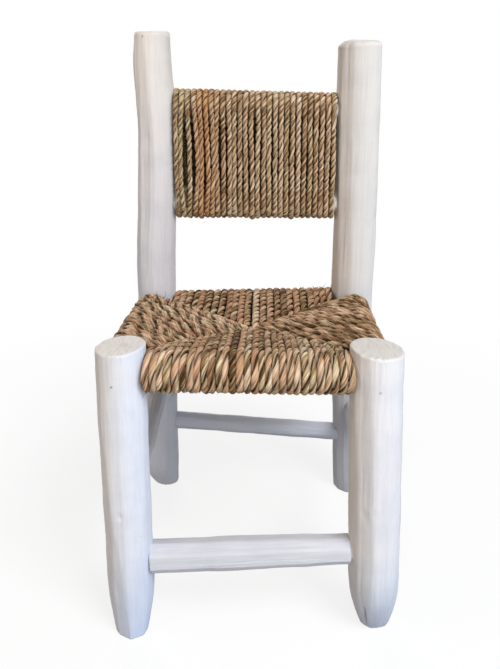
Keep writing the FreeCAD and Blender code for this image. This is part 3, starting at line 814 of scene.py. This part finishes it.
# Cords of two soft plies twisted to the right, gathered into one piece
class Cords:
    def __init__(self):
        self.verts = []
        self.away = []
        self.faces = []
        self.fibre = []
        self.strand = []
        self.count = 0

    def add_rows(self, points, line, fibre, strand):
        rows, sides = points.shape[:2]
        self.faces += tube_faces(rows, sides, self.count)
        self.count += rows * sides
        self.verts.append(points.reshape(-1, 3))
        self.away.append((points - line[:, None, :]).reshape(-1, 3))
        self.fibre.append(fibre)
        self.strand.append(strand)

    # One cord along a line. twist is the length of one turn, drift how uneven the turns are, crease how
    # dark the painted shade in the groove between the plies is, and edge how dark the painted shade on the
    # cord's sides is. paint and widen are functions that give how much paint is on the cord, and how much it
    # swells, at each point of the line.
    def lay(self, rng, controls, lateral, width, thick, twist, colour, paint=None, widen=None,
            full=1.15, drift=0.9, edge=0.85, crease_shade=0.72, differ=0.1):
        line, along = smooth_line(controls, CORD_STEP)
        tangent = np.gradient(line, axis=0)
        tangent /= np.linalg.norm(tangent, axis=1)[:, None]
        side = lateral - (tangent @ lateral)[:, None] * tangent
        side /= np.linalg.norm(side, axis=1)[:, None]
        face = np.cross(tangent, side)
        rows = len(line)
        fuller = (widen(line) if widen else np.zeros(rows))[:, None]
        wide = width * (1 + 0.18 * fuller)
        smear = paint(line) if paint else np.zeros(rows)
        turn = TURN * along / twist + rng.uniform(0, TURN) + wander(rng, along, drift, 6 * twist)
        around = round_angles(PLY_SIDES)
        for ply in range(2):
            phase = turn + ply * math.pi + wander(rng, along, 0.16, 1.7 * twist)
            phase = phase[:, None]
            fat = 1 + wander(rng, along, 0.1, 1.1 * twist)
            count = int(rng.integers(3, 6))
            leaves = count * around[None, :] + TURN * along[:, None] / (2.3 * twist)
            leaves = leaves + rng.uniform(0, TURN)
            crown = np.abs(np.cos(0.5 * leaves))
            leaf = np.floor((leaves + math.pi) / TURN).astype(int) % count
            fat = fat[:, None] * (0.87 + 0.2 * crown)
            reach = PLY_OUT + PLY_HALF_OUT * fat * np.cos(around)
            sweep = PLY_HALF_SIDEWAYS * (full + 0.55 * fuller) * fat * np.sin(around)
            across = wide * (np.cos(phase) * reach - np.sin(phase) * sweep)
            deep = thick * (np.sin(phase) * reach + np.cos(phase) * sweep)
            points = line[:, None, :] + across[:, :, None] * side[:, None, :]
            points = points + deep[:, :, None] * face[:, None, :]
            shift = rng.uniform(0, 900)
            fibre = np.stack((
                np.repeat(along + shift, PLY_SIDES), np.tile(2.0 * np.cos(around), rows) + 7 * ply,
                np.tile(2.0 * np.sin(around), rows) + shift), axis=1)
            tint = colour[0] + rng.normal(0, differ) + wander(rng, along, 0.08, 55)
            tint = np.clip(tint[:, None] + rng.normal(0, 0.12, count)[leaf], 0, 1)
            ruddy = np.clip(colour[1] + rng.normal(0, differ) + wander(rng, along, 0.1, 120), 0, 1)
            # Painted shade: darker on the cord's sides where it meets its neighbours, in the groove between
            # the plies, and between the leaves of a ply
            flank = fade_in(np.abs(across) / (0.485 * wide) - 0.68, 0.28)
            shade = np.maximum(np.clip(crease_shade - 2.0 * reach, 0, 0.8), edge * flank)
            shade = np.clip(shade + 0.5 * (1 - crown) ** 3, 0, DARKEST_SHADE)
            strand = np.stack((
                tint.ravel(), np.repeat(ruddy, PLY_SIDES), shade.ravel(),
                np.repeat(smear, PLY_SIDES)), axis=1)
            self.add_rows(points, line, fibre, strand)

    # Thin ends of leaf that stand off the cords, anywhere or near one place
    def fray(self, rng, count, lengths, place=None, within=0.0, lift=0.0, stout=1.0):
        verts = np.vstack(self.verts)
        away = np.vstack(self.away)
        choice = np.arange(len(verts))
        if place is not None:
            choice = np.flatnonzero(np.linalg.norm(verts - np.array(place), axis=1) < within)
        for pick in rng.choice(choice, count):
            outward = unit(away[pick])
            first = outward + rng.normal(0, 0.55, 3) + lift * UP
            second = outward + rng.normal(0, 0.9, 3) + (lift - 0.3) * UP
            length = rng.uniform(*lengths)
            start = verts[pick] - 0.8 * outward
            bend = start + 0.5 * length * first / np.linalg.norm(first)
            tip = bend + 0.5 * length * second / np.linalg.norm(second)
            line, along = smooth_line((start, bend, tip), length / 6)
            radius = stout * np.linspace(rng.uniform(0.25, 0.45), 0.09, len(line))
            level = unit(np.cross(tip - start, UP))
            upward = np.cross(level, unit(tip - start))
            corners = round_angles(FRAY_SIDES)
            ring = np.cos(corners)[:, None] * level + 0.4 * np.sin(corners)[:, None] * upward
            points = line[:, None, :] + radius[:, None, None] * ring[None, :, :]
            ones = np.ones(len(line) * FRAY_SIDES)
            fibre = np.stack((np.repeat(along, FRAY_SIDES) + pick, ones, ones), axis=1)
            strand = np.tile((rng.uniform(0.1, 0.7), 0.3, 0.0, 0.0), (len(ones), 1))
            self.add_rows(points, line, fibre, strand)

    def finish(self, name, material, nodes):
        add_piece(
            name, np.vstack(self.verts) + CENTRING, self.faces, material, "plant_cord", nodes,
            fibre=np.vstack(self.fibre), strand=np.vstack(self.strand))


# One corner of the eight-sided outline round a rail that a smooth line turns into the rail's wrap
def wrap_corner(centre, outward, upward, reach, degrees):
    turn = math.radians(degrees)
    size = reach / math.cos(math.pi / 8)
    return centre + outward * (size * math.cos(turn)) + upward * (size * math.sin(turn))


# The seat


# The axis that a seat rail runs along: 0 from left to right, 1 from front to rear
def rail_axis(side):
    return 0 if side in ("front", "rear") else 1


def rail_line(side):
    first, second, z_first, z_second, dia = RAILS[side]
    return post_axis(POSTS[first], z_first), post_axis(POSTS[second], z_second), dia


# The corner of the seat opening beside a post
def inner_corner(name, z):
    post = POSTS[name]
    room = float(post_radius(post, z)) + POST_GAP
    near = (post_axis(post, z + up) for up in (-CORNER_REACH, 0.0, CORNER_REACH))
    axis = min(near, key=lambda point: abs(point[0]))
    return np.array((axis[0] - math.copysign(room, axis[0]), axis[1] - math.copysign(room, axis[1]), 0.0))


def seat_corners():
    return {name: inner_corner(name, CORNER_HEIGHTS[name.split("_")[0]]) for name in POSTS}


# The height of the top runs of the front and rear strands, from rail to centre to rail
def seat_height(y):
    front, rear = (
        RAILS[side][2] + 0.5 * RAILS[side][4] + CORD_GAP + 0.5 * SEAT[side]["thick"]
        for side in ("front", "rear"))
    return float(np.interp(y, (-HALF_DEPTH, SEAT_CENTRE[1], HALF_DEPTH), (front, SEAT_CENTRE[2], rear)))


def seam_point(share, first, second):
    corner = first if share < 0 else second
    point = SEAT_CENTRE + (corner - SEAT_CENTRE) * abs(share)
    point[2] = seat_height(point[1])
    return point


def strand_colour(rng, side):
    tint = rng.normal(SEAT[side]["tint"], 0.07)
    ruddy = rng.normal(SEAT[side]["warmth"], 0.22)
    if side == "front" and rng.uniform() < 0.3:
        tint += 0.15
    return float(np.clip(tint, 0.32, 0.9)), float(np.clip(ruddy, 0.0, 0.75))


# A strand from its seam over its rail and back under it
def strand_controls(rng, side, value, bulge, corners, over):
    start, end, dia = rail_line(side)
    axis = rail_axis(side)
    other = 1 - axis
    first, second = (corners[name] + SEAM_CORNER_MOVES.get(name, 0.0) for name in RAILS[side][:2])
    reach = 0.5 * dia + CORD_GAP + 0.5 * SEAT[side]["thick"] + rng.uniform(-0.3, 0.4)
    run = unit(end - start)
    centre = point_at(start, end, axis, value)
    middle = point_at(start, end, axis, SEAT_CENTRE[axis])
    corner = first if value < SEAT_CENTRE[axis] else second
    place = abs(value - SEAT_CENTRE[axis]) / abs(corner[axis] - SEAT_CENTRE[axis])
    place = math.copysign(min(1.0, place), value - SEAT_CENTRE[axis])
    moved, drawn, drawn_first = SEAM_ENDS[side]
    drawn = drawn_first if place < 0 else drawn
    inward = np.zeros(3)
    inward[other] = -math.copysign(1.0, centre[other])

    top = seam_point(np.clip(moved + drawn * place, -1, 1), first, second)
    top[2] += rng.normal(0, 0.5) - (1.0 if axis == 1 else 0.0)
    run_in = top - centre
    run_in[2] = 0
    room = np.linalg.norm(run_in)
    skew = run_in[axis] / abs(run_in[other])
    run_in /= room
    before, beyond, tuck = DIVE if axis == 0 else SIDE_DIVE
    if axis == 1:
        before = min(before, 0.3 * room)
    shoulder = top + run_in * (over - before) + UP * (0.3 * over)
    dive = top + run_in * (over + beyond) - UP * tuck

    under = seam_point(place, first, second)
    depth = abs(centre[other] - under[other])
    share = depth / abs(centre[other] - SEAT_CENTRE[other])
    under[axis] = value
    under[2] = centre[2] - reach + (SEAT_CENTRE_UNDER - middle[2] + reach) * share
    wraps = []
    for degrees in WRAP_ANGLES:
        tight = WRAP_TIGHTER[side] * max(0.0, math.cos(math.radians(degrees - WRAP_FACING[side])))
        point = wrap_corner(centre, -inward, UP, reach - tight, degrees)
        point += run * (bulge * max(0.0, math.cos(math.radians(degrees))) + rng.normal(0, 0.2))
        wraps.append(point)
    wraps[0][axis] += skew * 0.41 * reach
    half_way = 0.5 * (shoulder + wraps[0])
    half_way[axis] += rng.normal(0, 0.5)
    controls = [dive, shoulder] + ([half_way] if room > 40 else []) + wraps
    return controls + [under - inward * DIVE[0], under + inward * DIVE[1] + UP * DIVE[2]]


# White paint brushed onto the last front strand beside the leg
def front_smear(line):
    low = fade_in(282 - line[:, 2], 6)
    outside = fade_in(-HALF_DEPTH - 6 - line[:, 1], 6)
    return 0.45 * low * outside


# The function for how much a strand of one side swells along its line, which it does on its rail only
def fuller_on_rail(side):
    across = 1 - rail_axis(side)

    def fuller(line):
        return SEAT[side]["fuller"] * fade_in(np.abs(line[:, across]) - HALF_DEPTH + 16, 10)

    return fuller


def make_seat(material, seed):
    rng = np.random.default_rng(seed)
    corners = seat_corners()
    for side, seat in SEAT.items():
        count = seat["strands"]
        width = seat["width"]
        start, end, _ = rail_line(side)
        low, high = (corners[name][rail_axis(side)] for name in RAILS[side][:2])
        inset = seat["inset"] * width
        cords = Cords()
        for index, value in enumerate(np.linspace(low + inset, high - inset, count)):
            loose = 0.3 if index in (0, count - 1) else 1.0
            value += loose * rng.uniform(-0.1, 0.1) * width
            bulge = 0.0
            if side == "front":
                bulge = BULGE_RIGHT[0] * math.exp((value - high) / BULGE_RIGHT[1])
                bulge -= BULGE_LEFT[0] * math.exp((low - value) / BULGE_LEFT[1])
            colour = strand_colour(rng, side)
            pale = side == "rear" and index == count // 2
            if pale:
                colour = PALE_COLOUR
            controls = strand_controls(rng, side, value, bulge, corners, PALE_OVER if pale else 0.0)
            smeared = front_smear if side == "front" and index == count - 1 else None
            wide = width * rng.uniform(0.94, 1.08)
            twist = seat["lay"] * rng.uniform(0.85, 1.15)
            cords.lay(
                rng, controls, unit(end - start), wide, seat["thick"], twist, colour, smeared,
                fuller_on_rail(side), seat["full"], edge=seat["edge"], differ=seat["differ"])
        # Painted shade: the front strands are darker where they run over the seat's top than on the rail's
        # face
        if side == "front":
            verts = np.vstack(cords.verts)
            strands = np.vstack(cords.strand)
            strands[:, 0] -= FRONT_TOP_SHADE * fade_in(verts[:, 1] + HALF_DEPTH - 4, 10)
            cords.strand = [strands]
        cords.fray(rng, *SEAT_FRAY)
        if side in CORNER_FRAYS:
            cords.fray(rng, *CORNER_FRAYS[side])
        cords.finish("seat_" + side + "_twisted_cords", material, ("seat_" + side + "_cords",))


# Lengths inside the seat, side by side with each rail
def make_cross_cords(material, seed):
    rng = np.random.default_rng(seed)
    corners = seat_corners()
    cords = Cords()
    for side, seat in SEAT.items():
        start, end, dia = rail_line(side)
        axis = rail_axis(side)
        other = 1 - axis
        middle = point_at(start, end, axis, 0)
        reach = 0.5 * dia + CORD_GAP + 0.5 * seat["thick"]
        slope = (SEAT_CENTRE_UNDER - middle[2] + reach) / abs(middle[other])
        for index in range(seat["inner"]):
            inset = 0.5 * (dia + INNER_WIDTH) + CORD_GAP + index * INNER_PITCH
            points = []
            for name in RAILS[side][:2]:
                corner = corners[name]
                share = min(1.0, (abs(middle[other]) - inset) / abs(corner[other]))
                place = math.copysign(abs(corner[axis]) * share - 6.0, corner[axis])
                point = point_at(start, end, axis, place)
                point[other] -= math.copysign(inset, point[other])
                point[2] += 0.5 * (seat["thick"] + INNER_WIDTH) + 0.6 - reach + slope * inset
                points.append(point)
            centre = 0.5 * (points[0] + points[1]) + UP * rng.uniform(-0.4, 0.4)
            cords.lay(
                rng, [points[0], centre, points[1]], UP, INNER_WIDTH, INNER_THICK, seat["lay"], INNER_COLOUR)
    cords.finish("seat_inner_twisted_cords", material, ("seat_cross_cords",))


# The back


def back_shift(strand, z):
    loose = LOOSE_STRANDS[strand] if strand < len(LOOSE_STRANDS) else 0.0
    loose *= max(0.0, 1 - ((z - LOOSE_AT[0]) / LOOSE_AT[1]) ** 2)
    parted = PARTED_STRANDS.get(strand, 0.0)
    return loose + parted * max(0.0, 1 - ((z - PARTED_AT[0]) / PARTED_AT[1]) ** 2)


def make_back(material, seed):
    rng = np.random.default_rng(seed)
    left, right = POSTS["rear_left_post"], POSTS["rear_right_post"]
    upper = (post_axis(left, UPPER_BACK_Z[0]), post_axis(right, UPPER_BACK_Z[1]))
    lower = (post_axis(left, LOWER_BACK_Z[0]), post_axis(right, LOWER_BACK_Z[1]))
    room = POST_GAP + 0.5 * BACK_CORD_DIA
    first = max(float(post_axis(left, z)[0] + post_radius(left, z)) for z in BACK_LEVELS) + room
    last = min(float(post_axis(right, z)[0] - post_radius(right, z)) for z in BACK_LEVELS) - room
    pitch = (last - first) / (BACK_TURNS - 1)
    reach = 0.5 * BACK_RAIL_DIA + CORD_GAP + 0.5 * BACK_CORD_DIA
    lean = upper[0] - lower[0]
    lean[0] = 0
    lean = unit(lean)
    rear = np.array((0.0, lean[2], -lean[1]))
    across = np.array((1.0, 0.0, 0.0))

    controls = []
    for strand in range(BACK_TURNS):
        x = first + strand * pitch + rng.uniform(-0.35, 0.35) * (0 < strand < BACK_TURNS - 1)
        low = point_at(*lower, 0, x)
        high = point_at(*upper, 0, x)
        snug = rng.uniform(-0.2, 0.4)
        if strand == 0:
            controls.append(low + rear * reach + lean * END_RUN - across * (END_SIDEWAYS * pitch))
        sag = LOWER_SAGS.get(strand, 0.0)
        for degrees in (-22.5, -67.5, -112.5, -157.5):
            controls.append(wrap_corner(low - UP * sag, rear, lean, reach + snug, degrees))
        for part in (0.2, 0.4, 0.6, 0.8):
            point = low + (high - low) * part - rear * (reach + rng.uniform(-0.5, 0.4))
            point[0] += back_shift(strand, point[2]) + rng.normal(0, 0.35)
            controls.append(point)
        for degrees in (157.5, 112.5, 67.5, 22.5):
            controls.append(wrap_corner(high, rear, lean, reach + snug, degrees))
        if strand == BACK_TURNS - 1:
            controls.append(high + rear * reach - lean * END_RUN + across * (END_SIDEWAYS * pitch))
        else:
            point = 0.5 * (low + high) + across * (0.5 * pitch) + rear * (reach + rng.uniform(-0.4, 0.4))
            controls.append(point)
    middle = 0.5 * (lower[0] + upper[0])

    def fuller_behind(line):
        behind = fade_in((line - middle) @ rear, reach)
        ends = np.maximum(LOWER_BACK_Z[0] - line[:, 2], line[:, 2] - UPPER_BACK_Z[1])
        return np.maximum(behind, 0.6 * fade_in(ends, 8))

    cords = Cords()
    cords.lay(
        rng, controls, across, BACK_CORD_DIA, BACK_CORD_DIA, BACK_LAY, BACK_COLOUR,
        widen=fuller_behind, **BACK_LOOK)
    cords.fray(rng, *BACK_FRAY)

    verts = np.vstack(cords.verts)
    strand = np.vstack(cords.strand)
    heights = verts[:, 2]
    depths = (verts - middle) @ rear
    number = (verts[:, 0] - first) / pitch
    whole = np.clip(np.round(number), 0, BACK_TURNS - 1).astype(int)
    tints = rng.normal(0.0, 0.09, BACK_TURNS)
    orange, orange_at, orange_half = ORANGE_STRANDS
    ruddy = orange * np.exp(-((np.arange(BACK_TURNS) - orange_at) / orange_half) ** 4)
    ruddy = ruddy + rng.uniform(0.05, 0.4, BACK_TURNS)
    ruddy[:3] = 0.0
    strand[:, 0] = np.clip(strand[:, 0] + tints[whole], 0, 1)
    strand[:, 1] = np.clip(ruddy[whole] + 0.5 * strand[:, 1], 0, 1)
    # Painted shade on the inner sides of the winding, between its front and rear runs, fading out near the
    # rails
    inside = np.clip((reach - 0.3 - np.abs(depths)) / 2.2, 0, DARKEST_SHADE)
    above = heights - LOWER_BACK_Z[0] - 12
    below = UPPER_BACK_Z[1] - 12 - heights
    inside *= fade_in(np.minimum(above, below), 6)
    strand[:, 2] = np.maximum(strand[:, 2], inside)
    at_left = fade_in(-0.12 - number, 0.2)
    at_left = at_left * np.exp(-((heights - LEFT_SMEAR[0]) / LEFT_SMEAR[1]) ** 2)
    at_right = fade_in(number - BACK_TURNS + 0.88, 0.2)
    at_right = at_right * sum(np.exp(-((heights - z) / size) ** 2) for z, size in RIGHT_SMEARS)
    at_right = at_right * fade_in(-depths, reach)
    strand[:, 3] = np.clip(at_left + at_right, 0, 1)
    cords.strand = [strand]
    cords.finish("back_twisted_cord", material, ("back_cord",))


# The stage


def make_camera(scene):
    camera = bpy.data.objects.new("camera", bpy.data.cameras.new("camera"))
    scene.collection.objects.link(camera)
    camera.location = [MM * value for value in CAMERA_PLACE]
    camera.rotation_euler = (math.radians(90 - CAMERA_PITCH), 0, math.radians(CAMERA_TURN))
    camera.data.sensor_fit = "VERTICAL"
    camera.data.sensor_height = SENSOR
    camera.data.lens = SENSOR * FOCAL_PIXELS / PHOTO_HEIGHT
    camera.data.shift_y = (AXIS_ROW - 0.5 * PHOTO_HEIGHT) / PHOTO_HEIGHT
    camera.data.clip_start = 0.01
    scene.camera = camera


def make_lights(scene):
    world = bpy.data.worlds.new("studio")
    scene.world = world
    world.use_nodes = True
    tree = world.node_tree
    tree.nodes.clear()
    ambient = add_node(tree, "ShaderNodeBackground", AMBIENT).outputs[0]
    backdrop = add_node(tree, "ShaderNodeBackground", WHITE).outputs[0]
    mixed = add_node(tree, "ShaderNodeMixShader", {0: background_rays(tree), 1: ambient, 2: backdrop})
    output = add_node(tree, "ShaderNodeOutputWorld")
    tree.links.new(mixed.outputs[0], output.inputs["Surface"])

    for name, (place, size, power, colour) in LAMPS.items():
        lamp = bpy.data.lights.new(name, "AREA")
        lamp.size = size
        lamp.energy = power
        lamp.color = colour
        holder = bpy.data.objects.new(name, lamp)
        scene.collection.objects.link(holder)
        holder.location = place
        aim = np.array(LAMPS_AIM) - np.array(place)
        holder.rotation_euler = (
            math.atan2(math.hypot(aim[0], aim[1]), -aim[2]), 0, math.atan2(aim[1], aim[0]) - 0.5 * math.pi)


# A white floor with a faint shadow under the chair
def make_floor(scene):
    mesh = bpy.data.meshes.new("floor")
    corners = [(FLOOR_HALF * x, FLOOR_HALF * y, 0) for x, y in ((-1, -1), (1, -1), (1, 1), (-1, 1))]
    mesh.from_pydata(corners, [], [(0, 1, 2, 3)])
    floor = bpy.data.objects.new("floor", mesh)
    scene.collection.objects.link(floor)
    material, tree, shader = new_material("pale_floor")
    shader.inputs["Roughness"].default_value = 0.9
    shader.inputs["Specular IOR Level"].default_value = 0.0
    seen = background_rays(tree)
    tree.links.new(blend_colour(tree, seen, (0.4, 0.4, 0.4), (1.0, 1.0, 1.0)), shader.inputs["Base Color"])
    glow = add_node(tree, "ShaderNodeEmission", WHITE).outputs[0]
    place = add_node(tree, "ShaderNodeNewGeometry").outputs["Position"]
    distance = add_node(tree, "ShaderNodeVectorMath", {0: place}, operation="LENGTH").outputs["Value"]
    share = maths(tree, "MULTIPLY", seen, spread(tree, distance, *SHADOW_FADE, *FLOOR_GLOW))
    mixed = add_node(tree, "ShaderNodeMixShader", {0: share, 1: shader.outputs[0], 2: glow})
    output = next(node for node in tree.nodes if node.type == "OUTPUT_MATERIAL")
    tree.links.new(mixed.outputs[0], output.inputs["Surface"])
    mesh.materials.append(material)


stage = bpy.context.scene
stage.view_settings.view_transform = "Standard"
make_camera(stage)
make_lights(stage)
make_floor(stage)

white_paint = paint_material()
seat_rail_wood = rail_material("seat_rail_wood", False)
back_rail_wood = rail_material("back_rail_wood", True)
seat_cord = cord_material("seat_palm_cord", SEAT_ORANGE)
back_cord = cord_material("back_palm_cord", BACK_ORANGE)

for number, post_name in enumerate(POSTS):
    make_post(post_name, white_paint, POST_SEED + number)
for number, stretcher_name in enumerate(STRETCHERS):
    make_stretcher(stretcher_name, white_paint, STRETCHER_SEED + number)
for node_name in ("front_seat_rail", "rear_seat_rail", "left_seat_rail", "right_seat_rail",
                  "upper_back_rail", "lower_back_rail"):
    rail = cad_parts[node_name]
    rail.data.materials.clear()
    rail.data.materials.append(back_rail_wood if "back" in node_name else seat_rail_wood)
make_seat(seat_cord, SEAT_SEED)
make_cross_cords(seat_cord, INNER_SEED)
make_back(back_cord, BACK_SEED)
